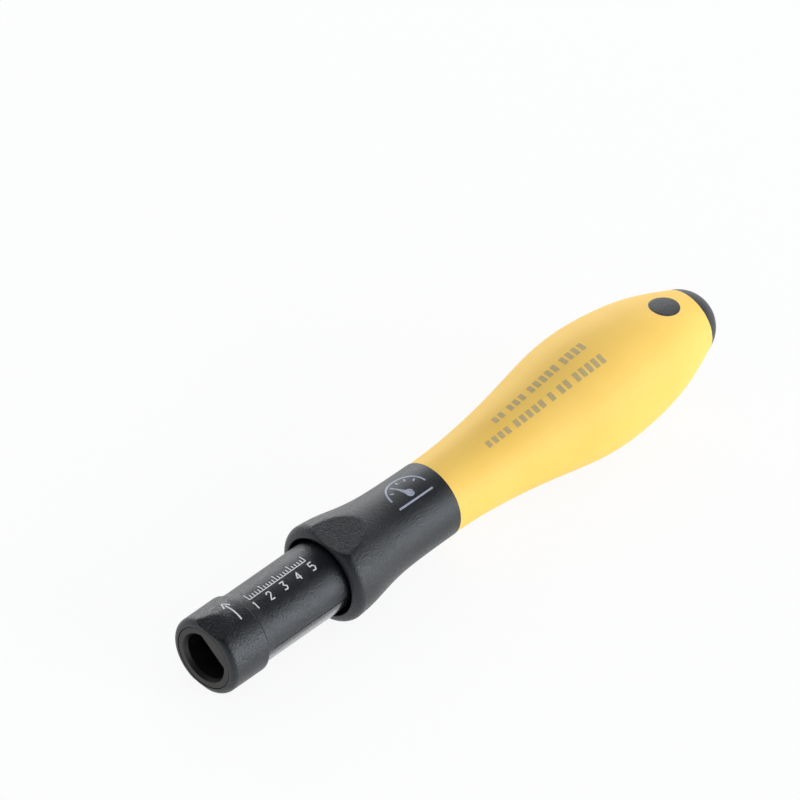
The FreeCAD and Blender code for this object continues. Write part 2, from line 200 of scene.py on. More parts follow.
def noise(tree, place, scale, detail=3.0, roughness=0.5):
    """Value of a noise texture, about 0.5 on average."""
    return add(tree, "TexNoise", {"Vector": place, "Scale": scale, "Detail": detail,
                                  "Roughness": roughness}).outputs["Fac"]


NOISE_LOW = 0.3
NOISE_HIGH = 0.7


def between(tree, share, low, high):
    """Value that runs from low to high as a noise share runs over its usual span."""
    return add(tree, "MapRange", {"Value": share, "From Min": NOISE_LOW, "From Max": NOISE_HIGH,
                                  "To Min": low, "To Max": high}).outputs["Result"]


def tinted(tree, share, first, second):
    """Colour between two colours, by a share."""
    mix = add(tree, "Mix", {"Factor": share}, data_type="RGBA")
    mix.inputs[6].default_value = (*first, 1)
    mix.inputs[7].default_value = (*second, 1)
    return mix.outputs[2]


def bumped(tree, shader, height, distance, strength=1.0):
    """Bump from a height, on the shader's normal."""
    bump = add(tree, "Bump", {"Height": height, "Distance": distance, "Strength": strength})
    tree.links.new(bump.outputs["Normal"], shader.inputs["Normal"])


def turned_steel(name, first, second, roughness=0.34, lines=9000.0):
    """Metal with fine lathe lines: noise stretched round the axis by reading the radius and depth."""
    made, tree, shader = material(name, roughness, metallic=1.0)
    source = add(tree, "TexCoord").outputs["Object"]
    parts = add(tree, "SeparateXYZ", {"Vector": source})
    side = add(tree, "CombineXYZ", {"Y": parts.outputs["Y"], "Z": parts.outputs["Z"]})
    radius = add(tree, "VectorMath", {0: side.outputs["Vector"]}, operation="LENGTH").outputs["Value"]
    place = add(tree, "CombineXYZ", {"X": parts.outputs["X"], "Y": radius}).outputs["Vector"]
    grooves = noise(tree, place, lines, 2.0)
    cloud = noise(tree, placed(tree), 350.0, 4.0)
    tree.links.new(tinted(tree, cloud, first, second), shader.inputs["Base Color"])
    tree.links.new(between(tree, cloud, roughness - 0.06, roughness + 0.08), shader.inputs["Roughness"])
    bumped(tree, shader, grooves, 0.000006, 0.5)
    return made


COLUMNS = 240
ANGLES = np.arange(COLUMNS) * 2 * math.pi / COLUMNS
BLADE_BORE = 4.5
BLADE_BORE_DEPTH = 10.5
BLADE_FLAT = 3.4
BLADE_FLAT_FACING = math.radians(60)
LEAD_IN = 0.45
LAND_EASE = 0.22
CLIP_STEP = 0.47
JOURNAL = 5.57
JOURNAL_GROOVE = 0.55
FLANGE_LENGTH = 2.5
STUB = 2.6
STUB_FLAT = 2.1
BORE_BLEND = 0.1
FLAT_BLEND = 0.06
BORE_STEP = 0.35
SHAFT_STEP = 0.8

flange_radius = reach("output_spindle")
spindle_end = depths("output_spindle")[1]
shoulder = depths("driven_cam")[0]
clip_front, clip_rear = depths("blade_clip")
ring_front, ring_rear = depths("spindle_circlip")
bore_profile = rounded([
    (BLADE_BORE_DEPTH + 0.3 * BLADE_BORE, 0, 0), (BLADE_BORE_DEPTH, BLADE_BORE, 0.2),
    (clip_rear + PLAY, BLADE_BORE, 0), (clip_rear + PLAY, BLADE_BORE + CLIP_STEP, 0),
    (clip_front - PLAY, BLADE_BORE + CLIP_STEP, 0), (clip_front - PLAY, BLADE_BORE, 0),
    (2 * LEAD_IN, BLADE_BORE, 0.3), (0, BLADE_BORE + LEAD_IN, 0.12), (0, flange_radius, 0)])
outside_profile = rounded([
    (0, BLADE_BORE + LEAD_IN, 0), (0, flange_radius, 0.25), (FLANGE_LENGTH, flange_radius, 0.1),
    (FLANGE_LENGTH, JOURNAL, 0), (ring_front, JOURNAL, 0), (ring_front, JOURNAL - JOURNAL_GROOVE, 0),
    (ring_rear, JOURNAL - JOURNAL_GROOVE, 0), (ring_rear, JOURNAL, 0), (shoulder, JOURNAL, 0.2),
    (shoulder, STUB, 0), (spindle_end, STUB, 0.2), (spindle_end, 0, 0)])
bore_profile = spaced(bore_profile[:-1], BORE_STEP)
outside_profile = spaced(outside_profile[1:], SHAFT_STEP)
profile = np.vstack([bore_profile, outside_profile])
depth, radius = profile[:, :1], profile[:, 1:]
in_bore = (np.arange(len(profile)) < len(bore_profile))[:, None]
land = BLADE_FLAT + np.maximum(0, LAND_EASE - depth)
bore_radius = soft_min(radius, flat_radius(land, ANGLES, BLADE_FLAT_FACING), BORE_BLEND)
stub_radius = soft_min(radius, flat_radius(STUB_FLAT, ANGLES, math.pi / 2), FLAT_BLEND)
stub_radius = soft_min(stub_radius, flat_radius(STUB_FLAT, ANGLES, -math.pi / 2), FLAT_BLEND)
radius = np.where(in_bore & (radius > 0), bore_radius, radius)
radius = np.where((depth > shoulder + HAIR) & (radius > 0), stub_radius, radius)
black_oxide = turned_steel("black_oxide_steel", (0.055, 0.054, 0.053), (0.085, 0.083, 0.08), 0.48)
grid = turned_grid(depth, np.maximum(radius, 0), ANGLES)
output_spindle = piece("blade_spindle", grid, grid_faces(len(profile), COLUMNS, wrap_rows=False),
                       black_oxide, "spindle")
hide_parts("output_spindle")

# ---- blade clip and retaining rings ----------------------------------------------------------------
# Split rings of spring wire and strip: one grips the blade's groove, one holds the spindle in the
# barrel and one holds the setting screw in its plug. They snap into turned grooves.


def recoat(finish, *nodes):
    """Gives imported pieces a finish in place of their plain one."""
    for node in nodes:
        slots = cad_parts[node].data.materials
        slots.clear()
        slots.append(finish)


spring_steel = turned_steel("oiled_spring_steel", (0.2, 0.2, 0.21), (0.3, 0.3, 0.31), 0.3)
recoat(spring_steel, "blade_clip", "spindle_circlip", "screw_circlip", "scale_retainer")

# ---- ball clutch -----------------------------------------------------------------------------------
# Driven cam, eight bearing balls and the sliding pressure cam. The cams are hardened steel with ground
# faces, and the balls roll out of their pockets when the set torque is reached.
hardened = turned_steel("hardened_steel", (0.42, 0.42, 0.44), (0.55, 0.55, 0.56), 0.28)
recoat(hardened, "driven_cam", "pressure_cam")
polished, tree, shader = material("polished_ball_steel", 0.08, metallic=1.0)
smudge = noise(tree, placed(tree), 1500.0, 4.0)
tree.links.new(tinted(tree, smudge, (0.66, 0.66, 0.68), (0.78, 0.78, 0.79)), shader.inputs["Base Color"])
tree.links.new(between(tree, smudge, 0.06, 0.16), shader.inputs["Roughness"])
recoat(polished, "clutch_balls")
ground = turned_steel("ground_washer_steel", (0.5, 0.5, 0.51), (0.62, 0.62, 0.63), 0.3, 12000.0)
recoat(ground, "spring_washer", "spring_seat", "thrust_washer")

# ---- main spring -----------------------------------------------------------------------------------
# The compression spring that sets the clutch's torque: round wire wound on a mandrel, with its last
# turns closed up against the washer and the seat. It shortens as the nut comes forward.
WIRE = 0.55
SPRING_TURNS = 6.5
CLOSED_TURNS = 0.8
SPRING_GAP = 0.12
SPRING_MARGIN = 0.3
COIL_STEPS = 620
WIRE_SIDES = 20
spring_front = depths("spring_washer")[1] + WIRE + SPRING_GAP
spring_rear = depths("spring_seat")[0] - WIRE - SPRING_GAP
coil_radius = (reach("spring_washer") - SPRING_MARGIN) - WIRE


def coil(turns, closed, front, rear, mean_radius, wire, steps, around):
    """Round wire along a helix whose lead is a wire's width at its closed ends and even between them.

    The centre line is x = -depth, y = mean_radius cos(turn), z = mean_radius sin(turn), and the wire's
    circle lies in the plane of the radius and the axis.
    """
    turn = np.linspace(0, turns, steps)
    lead = np.where((turn < closed) | (turn > turns - closed), 2 * wire, 0.0)
    open_lead = (rear - front - 4 * wire * closed) / (turns - 2 * closed)
    lead = np.where(lead == 0, open_lead, lead)
    place = np.concatenate([[0], np.cumsum((lead[1:] + lead[:-1]) / 2 * np.diff(turn))])
    place = front + place * (rear - front) / place[-1]
    angle = (2 * math.pi * turn)[:, None]
    section = (np.arange(around) * 2 * math.pi / around)[None, :]
    shrink = np.ones((steps, 1))
    shrink[0] = shrink[-1] = 0
    radius = mean_radius + wire * shrink * np.cos(section)
    return turned_grid(place[:, None] + wire * shrink * np.sin(section), radius, angle)


grid = coil(SPRING_TURNS, CLOSED_TURNS, spring_front, spring_rear, coil_radius, WIRE, COIL_STEPS,
            WIRE_SIDES)
main_spring = piece("torque_spring", grid, grid_faces(COIL_STEPS, WIRE_SIDES, wrap_rows=False),
                    spring_steel, "handle")
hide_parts("main_spring")
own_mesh(main_spring)

# ---- adjusting nut and scale -----------------------------------------------------------------------
# Brass nut with two tongues that slide in the barrel, and the white scale sleeve that it carries past
# the window. The sleeve is moulded, with a printed scale, and a wire ring locks it on the nut.
brass = turned_steel("turned_brass", (0.62, 0.43, 0.16), (0.74, 0.54, 0.24), 0.3)
recoat(brass, "adjusting_nut", "bearing_plug")
scale_white, tree, shader = material("scale_white", 0.42)
speck = noise(tree, placed(tree), 900.0, 3.0)
tree.links.new(tinted(tree, speck, (0.78, 0.79, 0.8), (0.86, 0.86, 0.86)), shader.inputs["Base Color"])
bumped(tree, shader, noise(tree, placed(tree), 5000.0), 0.000008, 0.4)
recoat(scale_white, "scale_sleeve")

# ---- rubber friction ring --------------------------------------------------------------------------
# Nitrile ring in the plug's groove. It holds the setting screw where it was left.
rubber, tree, shader = material("nitrile_rubber", 0.6, ior=1.5)
dust = noise(tree, placed(tree), 1200.0, 4.0)
tree.links.new(tinted(tree, dust, (0.012, 0.012, 0.013), (0.03, 0.03, 0.031)), shader.inputs["Base Color"])
bumped(tree, shader, dust, 0.00001, 0.4)
recoat(rubber, "friction_ring")

# ---- adjusting screw -------------------------------------------------------------------------------
# Steel screw that drives the nut: a rolled thread, a thrust collar, and a journal with a hexagon socket
# in its rear for the setting key. It turns in the plug and is held there by its retaining ring.
THREAD_PITCH = 0.8
THREAD_DEPTH = 0.42
THREAD = 2.5
THREAD_RUNOUT = 0.8
SCREW_JOURNAL = 3.2
SCREW_THRUST = 4.6
HEX_HALF = 2.0
HEX_DEPTH = 4.6
HEX_TIP = 0.6
FLANK_SLOPE = 1.25
CREST_LAND = 0.12
THREAD_STEP = 0.12
SOCKET_STEP = 0.5
SCREW_COLUMNS = 96
screw_front, screw_end = depths("adjusting_screw")
thrust_rear = depths("thrust_washer")[0] - PLAY
thrust_front = depths("barrel")[1] + PLAY
groove_front, groove_rear = depths("screw_circlip")
hex_floor = screw_end - HEX_DEPTH
outside = rounded([
    (screw_front, 0, 0), (screw_front, THREAD, 0.3), (thrust_front, THREAD, 0),
    (thrust_front, SCREW_THRUST, 0.15), (thrust_rear, SCREW_THRUST, 0.15), (thrust_rear, SCREW_JOURNAL, 0),
    (groove_front, SCREW_JOURNAL, 0), (groove_front, SCREW_JOURNAL - JOURNAL_GROOVE, 0),
    (groove_rear, SCREW_JOURNAL - JOURNAL_GROOVE, 0), (groove_rear, SCREW_JOURNAL, 0),
    (screw_end, SCREW_JOURNAL, 0.25), (screw_end, HEX_HALF, 0)])
outside = spaced(outside, THREAD_STEP)
socket = spaced(np.array([(screw_end, 1.0), (hex_floor, 1.0), (hex_floor - HEX_TIP, 0)]), SOCKET_STEP)
profile = np.vstack([outside[:-1], socket * (1, HEX_HALF)])
turns = np.arange(SCREW_COLUMNS) * 2 * math.pi / SCREW_COLUMNS
depth, radius = profile[:, :1], profile[:, 1:] * np.ones((1, SCREW_COLUMNS))
wave = np.abs(2 * ((depth / THREAD_PITCH - turns / (2 * math.pi)) % 1) - 1)
start = np.clip((depth - screw_front) / THREAD_RUNOUT, 0, 1)
stop = np.clip((thrust_front - THREAD_RUNOUT - depth) / THREAD_RUNOUT, 0, 1)
cut = THREAD_DEPTH * np.clip(FLANK_SLOPE * wave - CREST_LAND, 0, 1) * start * stop
radius = np.where(radius > 0, radius - cut, 0)
hexagon = 1 / np.cos((turns + math.pi / 6) % (math.pi / 3) - math.pi / 6)
in_socket = (np.arange(len(profile)) >= len(outside) - 1)[:, None]
radius = np.where(in_socket, radius * hexagon, radius)
setting_screw = piece("threaded_setting_screw", turned_grid(depth, radius, turns),
                      grid_faces(len(profile), SCREW_COLUMNS, wrap_rows=False), black_oxide, "setting_screw")
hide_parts("adjusting_screw")

# ---- barrel ----------------------------------------------------------------------------------------
# Black moulded tube with a thick ring at the nose, two flats on the ring, a recess for the window and
# a slot behind it. Glass-filled plastic with a fine eroded grain, locked in the handle by a groove.
RING_LENGTH = 8.7
RING_EDGE = 1.2
RING_FLAT = 6.55
RING_FLAT_RUN = 4.3
SHOULDER = 0.5
SHOULDER_RISE = 0.2
SHOULDER_LENGTH = 1.8
BORE = 5.95
FLANGE_SEAT = 2.55
LENS_THICKNESS = 0.55
WINDOW_FACING = -22.0
WINDOW_HALF = 27.0
SLOT_HALF = 15.0
SLOT_LENGTH = 12.0
LENS_TUCK = 2.0
ANCHOR_SETBACK = 5.2
ANCHOR_LENGTH = 1.6
ANCHOR_DEPTH = 0.25
KEY_HALF_WIDTH = 1.0
KEY_REACH = 6.42
KEY_SIDE = 0.16
KEY_LEAD = 0.55
LENS_SEAT = 0.02
STEEP = 0.012
NOSE_ARC_STEPS = 8
BARREL_STEP = 0.5


def moulded_black(name, shade, haze, roughness):
    """Black plastic with a spark-eroded grain: fine noise as bump, and faint clouds in its colour."""
    made, tree, shader = material(name, roughness, specular=0.66)
    shader.inputs["Specular Tint"].default_value = (0.88, 0.94, 1.0, 1)
    place = placed(tree)
    cloud = noise(tree, place, 220.0, 5.0, 0.6)
    grain = noise(tree, place, 2400.0, 3.0, 0.75)
    mottle = add(tree, "Math", {0: cloud, 1: grain}, operation="ADD").outputs["Value"]
    half = add(tree, "Math", {0: mottle, 1: 0.5}, operation="MULTIPLY").outputs["Value"]
    tree.links.new(tinted(tree, between(tree, half, 0.0, 1.0), shade, haze), shader.inputs["Base Color"])
    tree.links.new(between(tree, grain, roughness - 0.08, roughness + 0.12), shader.inputs["Roughness"])
    bumped(tree, shader, grain, 0.00013, 1.0)
    return made


barrel_black = moulded_black("moulded_black_sleeve", (0.004, 0.0043, 0.006), (0.01, 0.0108, 0.014), 0.33)
barrel_end = depths("barrel")[1]
ring_radius = reach("barrel")
tube_radius = reach("window_lens")
window_front = RING_LENGTH + SHOULDER
window_rear = depths("window_lens")[1] + LENS_SEAT
slot_rear = window_rear - LENS_TUCK
slot_front = slot_rear - SLOT_LENGTH
anchor_front = barrel_end - ANCHOR_SETBACK
journal_rear = depths("spindle_circlip")[0] - PLAY
outer_profile = spaced(rounded([
    (0, flange_radius + PLAY, 0), (0, ring_radius, RING_EDGE), (RING_LENGTH, ring_radius, 0.3),
    (window_front, tube_radius + SHOULDER_RISE, 0), (window_front + STEEP, tube_radius + SHOULDER_RISE, 0),
    (window_front + SHOULDER_LENGTH, tube_radius, 0.5), (slot_front, tube_radius, 0),
    (slot_rear, tube_radius, 0), (window_rear, tube_radius, 0), (window_rear + STEEP, tube_radius, 0),
    (anchor_front, tube_radius, 0), (anchor_front, tube_radius - ANCHOR_DEPTH, 0),
    (anchor_front + ANCHOR_LENGTH, tube_radius - ANCHOR_DEPTH, 0),
    (anchor_front + ANCHOR_LENGTH, tube_radius, 0), (barrel_end, tube_radius, 0.15),
    (barrel_end, BORE, 0)], NOSE_ARC_STEPS)[1:], BARREL_STEP)
inner_profile = spaced(rounded([
    (barrel_end, BORE, 0), (slot_rear, BORE, 0), (slot_front, BORE, 0), (journal_rear, BORE, 0),
    (journal_rear, JOURNAL + PLAY, 0), (FLANGE_SEAT, JOURNAL + PLAY, 0),
    (FLANGE_SEAT, flange_radius + PLAY, 0), (0, flange_radius + PLAY, 0.05),
    (0, ring_radius, 0)])[:-1], BARREL_STEP)
profile = np.vstack([outer_profile, inner_profile[1:]])
window_lines = np.radians([WINDOW_FACING - WINDOW_HALF, WINDOW_FACING + WINDOW_HALF])
slot_lines = np.radians([WINDOW_FACING - SLOT_HALF, WINDOW_FACING + SLOT_HALF])
steep_turn = STEEP / tube_radius
angles = np.unique(np.round(np.concatenate([
    ANGLES - math.pi, window_lines, window_lines + steep_turn * np.array([-1, 1]), slot_lines]), 9))
depth, radius = profile[:, :1], profile[:, 1:]
is_outer = (np.arange(len(profile)) < len(outer_profile))[:, None]
ring_height = RING_FLAT + (ring_radius - RING_FLAT) / RING_FLAT_RUN * depth
for facing in (math.pi / 2, -math.pi / 2):
    flat = soft_min(radius, flat_radius(ring_height, angles, facing), FLAT_BLEND)
    radius = np.where(is_outer & (depth < RING_LENGTH) & (depth > TOLERANCE), flat, radius)
across = np.abs(radius * np.cos(angles))
key = np.clip((KEY_HALF_WIDTH + KEY_SIDE / 2 - across) / KEY_SIDE, 0, 1)
in_keyway = ~is_outer & (depth > depths("pressure_cam")[0] - KEY_LEAD)
radius = np.where(in_keyway, radius + key * (KEY_REACH - BORE), radius)
in_window = (is_outer & (depth > window_front + TOLERANCE) & (depth < window_rear + TOLERANCE)
             & (angles > window_lines[0] - TOLERANCE) & (angles < window_lines[1] + TOLERANCE))
radius = np.where(in_window, tube_radius - LENS_THICKNESS, radius)
grid = turned_grid(depth, radius, angles)
rows, columns = len(profile), len(angles)
faces = grid_faces(rows, columns)
slot_depths = (depth[:, 0] > slot_front - TOLERANCE) & (depth[:, 0] < slot_rear + TOLERANCE)
outer_rows = np.flatnonzero(slot_depths & is_outer[:, 0])
inner_rows = np.flatnonzero(slot_depths & ~is_outer[:, 0])[::-1]
slot_columns = np.flatnonzero((angles > slot_lines[0] - TOLERANCE) & (angles < slot_lines[1] + TOLERANCE))
opened = np.zeros((rows, columns), bool)
opened[np.ix_(outer_rows[:-1], slot_columns[:-1])] = True
opened[np.ix_(inner_rows[1:], slot_columns[:-1])] = True
wall_loop = np.concatenate([
    np.stack([outer_rows[:-1], np.full(len(outer_rows) - 1, slot_columns[0])], 1),
    np.stack([np.full(len(slot_columns) - 1, outer_rows[-1]), slot_columns[:-1]], 1),
    np.stack([outer_rows[:0:-1], np.full(len(outer_rows) - 1, slot_columns[-1])], 1),
    np.stack([np.full(len(slot_columns) - 1, outer_rows[0]), slot_columns[:0:-1]], 1)])
inner_of = dict(zip(outer_rows.tolist(), inner_rows.tolist()))
wall_inner = np.array([inner_of[row] for row in wall_loop[:, 0].tolist()])
outer_number = wall_loop[:, 0] * columns + wall_loop[:, 1]
inner_number = wall_inner * columns + wall_loop[:, 1]
walls = np.stack([outer_number, np.roll(outer_number, -1), np.roll(inner_number, -1), inner_number], 1)
faces = np.vstack([faces[~opened], walls])
barrel = piece("nose_barrel", grid, faces, barrel_black, "handle")
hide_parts("barrel")

# ---- window lens -----------------------------------------------------------------------------------
# Smoked clear strip, moulded and pressed into the barrel's recess, flush with the tube. It covers the
# scale, and its rear end is tucked under the collar.
LENS_GAP = 0.024
LENS_END_GAP = 0.06
LENS_ROWS = 61
LENS_COLUMNS = 49


def sheet_faces(rows, columns):
    """Faces of a closed sheet: an outer grid, the same grid reversed behind it, and a wall round both."""
    faces = grid_faces(rows, columns, wrap_rows=False, wrap_columns=False).reshape(-1, 4)
    number = np.arange(rows * columns).reshape(rows, columns)
    rim = np.concatenate([number[0, :-1], number[:-1, -1], number[-1, :0:-1], number[:0:-1, 0]])
    ahead = np.roll(rim, -1)
    behind = rows * columns
    wall = np.stack([rim, ahead, ahead + behind, rim + behind], 1)
    return np.vstack([faces, faces[:, ::-1] + behind, wall])


clear, tree, shader = material("smoked_clear_window", 0.05, ior=1.49)
shader.inputs["Transmission Weight"].default_value = 0.97
streak = noise(tree, placed(tree, (0.2, 1, 1)), 1800.0, 3.0)
tree.links.new(tinted(tree, streak, (0.29, 0.3, 0.32), (0.34, 0.35, 0.37)), shader.inputs["Base Color"])
tree.links.new(between(tree, streak, 0.03, 0.08), shader.inputs["Roughness"])
lens_angles = np.linspace(window_lines[0] + LENS_GAP, window_lines[1] - LENS_GAP, LENS_COLUMNS)
lens_depths = np.linspace(window_front + LENS_END_GAP, window_rear - LENS_END_GAP, LENS_ROWS)[:, None]
top = turned_grid(lens_depths, np.full((1, 1), tube_radius), lens_angles)
bottom = turned_grid(lens_depths, np.full((1, 1), tube_radius - LENS_THICKNESS + HAIR), lens_angles)
points = np.concatenate([top.reshape(-1, 3), bottom.reshape(-1, 3)])
lens = piece("scale_window", points, sheet_faces(LENS_ROWS, LENS_COLUMNS), clear, "handle")
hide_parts("window_lens")

# ---- handle core -----------------------------------------------------------------------------------
# Black moulded core: a collar round the barrel with two flats, a neck, and a ribbed body inside the
# grip, with the key's bore through to the tail. The same glass-filled plastic as the barrel.
COLLAR_RADIUS = 9.55
COLLAR_EDGE = 1.84
COLLAR_HOLLOW = 7.6
COLLAR_HOLLOW_LENGTH = 6.4
COLLAR_FLAT = 8.35
COLLAR_FLAT_SLOPE = math.tan(math.radians(1.0))
COLLAR_FLAT_END = 42.0
NECK = 7.3
WAIST = 7.2
GRIP_SWELL = 40.7
GRIP_RADIUS = 11.6
TAIL = 6.35
SKIN_FRONT = 1.0
SKIN_MIDDLE = 2.0
SKIN_REAR = 0.9
PLUG = 5.6
SCREW_COLLAR = 4.6
SCREW_CHAMBER = 3.6
KEY_BORE = 3.4
RIB_HEIGHT = 0.7
RIB_WIDTH = 1.8
RIB_SETBACK = 14.7
RIB_TAIL = 10.4
RIB_RADIUS = 8.5
RIB_SIDE = 0.2
RIB_END = 0.3
END_PLAY = 0.2
LIP_LENGTH = 1.85
LIP_RUN = 0.4
LIP_ARC_STEPS = 30
LIP_STEP = 0.2
SEAM = 0.2
COLLAR_ROWS = 110
COLLAR_BLEND = 0.07
FLAT_INSET = 0.3
INSIDE_STEP = 1.5


def smooth_line(places, values, at):
    """Natural cubic spline through values at places, worked out for each place in at.

    Its second derivatives m solve h0 m0 + 2 (h0 + h1) m1 + h1 m2 = 6 (slope1 - slope0) at each inner
    place, with none at the ends, and a cubic with those derivatives joins each pair of places.
    """
    places, values = np.asarray(places, float), np.asarray(values, float)
    gap, slope = np.diff(places), np.diff(values) / np.diff(places)
    count = len(places)
    system = np.eye(count)
    inner = np.arange(1, count - 1)
    system[inner, inner - 1] = gap[:-1]
    system[inner, inner] = 2 * (gap[:-1] + gap[1:])
    system[inner, inner + 1] = gap[1:]
    bend = np.linalg.solve(system, np.concatenate([[0], 6 * np.diff(slope), [0]]))
    i = np.clip(np.searchsorted(places, at) - 1, 0, count - 2)
    before, after = (at - places[i]) / gap[i], (places[i + 1] - at) / gap[i]
    return (after * values[i] + before * values[i + 1]
            + gap[i] ** 2 / 6 * ((after ** 3 - after) * bend[i] + (before ** 3 - before) * bend[i + 1]))


def stations(start, end, shares):
    """Places at shares of the way from start to end."""
    return start + (end - start) * np.array(shares)


COLLAR_ALONG = (0, 0.13, 0.29, 0.456, 0.684, 1)
COLLAR_FALL = (0, 0.147, 0.489, 0.787, 0.947, 1)
SWELL_ALONG = (0, 0.128, 0.312, 0.509, 0.705, 0.853)
SWELL_RISE = (0, 0.027, 0.155, 0.386, 0.7, 0.92)
FALL_ALONG = (0, 0.328, 0.656, 1)
FALL_DROP = (0, 0.11, 0.415, 1)
collar_front = depths("handle_core")[0]
collar_crest = collar_front + LIP_LENGTH
grip_front, grip_rear = depths("grip_sleeve")
grip_peak = grip_front + GRIP_SWELL
tail_end = depths("end_cap")[1]


def collar_radius_at(depth):
    """Radius of the collar's outside from its crest to the neck."""
    return smooth_line(stations(collar_crest, grip_front, COLLAR_ALONG),
                       stations(COLLAR_RADIUS, NECK, COLLAR_FALL), depth)


def grip_radius_at(depth, front_cut=0.0, middle_cut=0.0, rear_cut=0.0):
    """Radius of the grip's outline at each depth, lowered by a skin that changes along its length."""
    front, middle, rear = WAIST - front_cut, GRIP_RADIUS - middle_cut, TAIL - rear_cut
    places = np.concatenate([stations(grip_front, grip_peak, SWELL_ALONG),
                             stations(grip_peak, grip_rear, FALL_ALONG)])
    values = np.concatenate([stations(front, middle, SWELL_RISE), stations(middle, rear, FALL_DROP)])
    return smooth_line(places, values, depth)


def rib_height(depth, angles):
    """Height of the four ribs under the grip: a smooth step at their sides and ends."""
    off = np.abs(angles % (math.pi / 2) - math.pi / 4)
    side = np.clip((RIB_WIDTH / 2 + RIB_SIDE / 2 - off * RIB_RADIUS) / RIB_SIDE, 0, 1)
    rib_front, rib_rear = grip_front + RIB_SETBACK, grip_rear - RIB_TAIL
    end = np.clip((depth - rib_front) / RIB_END, 0, 1) * np.clip((rib_rear - depth) / RIB_END, 0, 1)
    return RIB_HEIGHT * side * end


plug_rear = depths("bearing_plug")[1]
screw_clear = depths("screw_circlip")[1] + END_PLAY
screw_rear = depths("adjusting_screw")[1] + END_PLAY
spigot_front = depths("end_cap")[0]
lip_profile = rounded([
    (collar_front + COLLAR_HOLLOW_LENGTH, COLLAR_HOLLOW, 0), (collar_front, COLLAR_HOLLOW, 0.12),
    (collar_front, COLLAR_RADIUS, COLLAR_EDGE), (collar_crest + LIP_RUN, COLLAR_RADIUS, 0)],
    LIP_ARC_STEPS)[1:-2]
lip_profile = spaced(lip_profile, LIP_STEP)
collar_depths = np.linspace(collar_crest, grip_front - SEAM, COLLAR_ROWS)
collar_profile = np.stack([collar_depths, collar_radius_at(collar_depths)], 1)
seam_profile = rounded([
    tuple(collar_profile[-1]) + (0,), (grip_front, NECK, 0.12), (grip_front, WAIST - SKIN_FRONT, 0)])[1:]
BODY_ROWS = 120
body_depths = np.linspace(grip_front, grip_rear, BODY_ROWS)
body_profile = np.stack([body_depths, grip_radius_at(body_depths, SKIN_FRONT, SKIN_MIDDLE, SKIN_REAR)], 1)
inside_profile = spaced(rounded([
    (grip_rear, TAIL - SKIN_REAR, 0), (grip_rear, SCREW_COLLAR, 0), (spigot_front, SCREW_COLLAR, 0),
    (spigot_front, KEY_BORE, 0), (screw_rear, KEY_BORE, 0), (screw_rear, SCREW_CHAMBER, 0),
    (screw_clear, SCREW_CHAMBER, 0), (screw_clear, SCREW_COLLAR, 0), (plug_rear, SCREW_COLLAR, 0),
    (plug_rear, PLUG, 0), (barrel_end, PLUG, 0), (barrel_end, tube_radius, 0),
    (anchor_front + ANCHOR_LENGTH, tube_radius, 0),
    (anchor_front + ANCHOR_LENGTH, tube_radius - ANCHOR_DEPTH, 0),
    (anchor_front, tube_radius - ANCHOR_DEPTH, 0), (anchor_front, tube_radius, 0),
    (collar_front + COLLAR_HOLLOW_LENGTH, tube_radius, 0),
    (collar_front + COLLAR_HOLLOW_LENGTH, COLLAR_HOLLOW, 0.2), (collar_front, COLLAR_HOLLOW, 0)])[:-1],
    INSIDE_STEP)
profile = np.vstack([lip_profile, collar_profile, seam_profile[:-1], body_profile,
                     inside_profile[1:]])
depth, radius = profile[:, :1], profile[:, 1:] * np.ones((1, COLUMNS))
is_collar = (np.arange(len(profile)) < len(lip_profile) + len(collar_profile))[:, None]
flat_height = COLLAR_FLAT + COLLAR_FLAT_SLOPE * (depth - collar_front)
for facing in (math.pi / 2, -math.pi / 2):
    flat = soft_min(radius, flat_radius(flat_height, ANGLES, facing), COLLAR_BLEND)
    on_outside = is_collar & (depth < COLLAR_FLAT_END) & (radius > COLLAR_HOLLOW + FLAT_INSET)
    radius = np.where(on_outside, flat, radius)
first_body = len(lip_profile) + len(collar_profile) + len(seam_profile) - 1
in_body = (np.arange(len(profile)) >= first_body) & (np.arange(len(profile)) < first_body + BODY_ROWS)
radius = radius + np.where(in_body[:, None], rib_height(depth, ANGLES), 0)
core_black = moulded_black("moulded_black_handle", (0.0045, 0.0048, 0.0065), (0.011, 0.0118, 0.015), 0.35)
handle_core = piece("handle_core_moulding", turned_grid(depth, radius, ANGLES),
                    grid_faces(len(profile), COLUMNS), core_black, "handle")
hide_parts("handle_core")

# ---- soft grip -------------------------------------------------------------------------------------
# Yellow elastomer moulded over the core: a slim waist, a full palm swell and a taper to the tail. Its
# skin is thick at the swell and thin at both ends.
GRIP_ROWS = 220
grip_depths = np.linspace(grip_front, grip_rear, GRIP_ROWS)
outer = np.stack([grip_depths, grip_radius_at(grip_depths)], 1)
inner = np.stack([body_depths, body_profile[:, 1]], 1)[::-1]
profile = np.vstack([outer, inner])
depth, radius = profile[:, :1], profile[:, 1:] * np.ones((1, COLUMNS))
inner_row = (np.arange(len(profile)) >= GRIP_ROWS)[:, None]
radius = radius + np.where(inner_row, rib_height(depth, ANGLES) + HAIR, 0)
soft_yellow, tree, shader = material("soft_yellow_grip", 0.55, ior=1.45, specular=0.35)
place = placed(tree)
cloud = noise(tree, place, 90.0, 4.0)
grain = noise(tree, place, 2600.0, 3.0)
tree.links.new(tinted(tree, between(tree, cloud, 0, 1), (0.95, 0.61, 0.125), (0.98, 0.65, 0.15)),
               shader.inputs["Base Color"])
tree.links.new(between(tree, grain, 0.5, 0.62), shader.inputs["Roughness"])
bumped(tree, shader, grain, 0.00002, 0.35)
grip = piece("palm_grip", turned_grid(depth, radius, ANGLES), grid_faces(len(profile), COLUMNS),
             soft_yellow, "handle")
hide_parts("grip_sleeve")

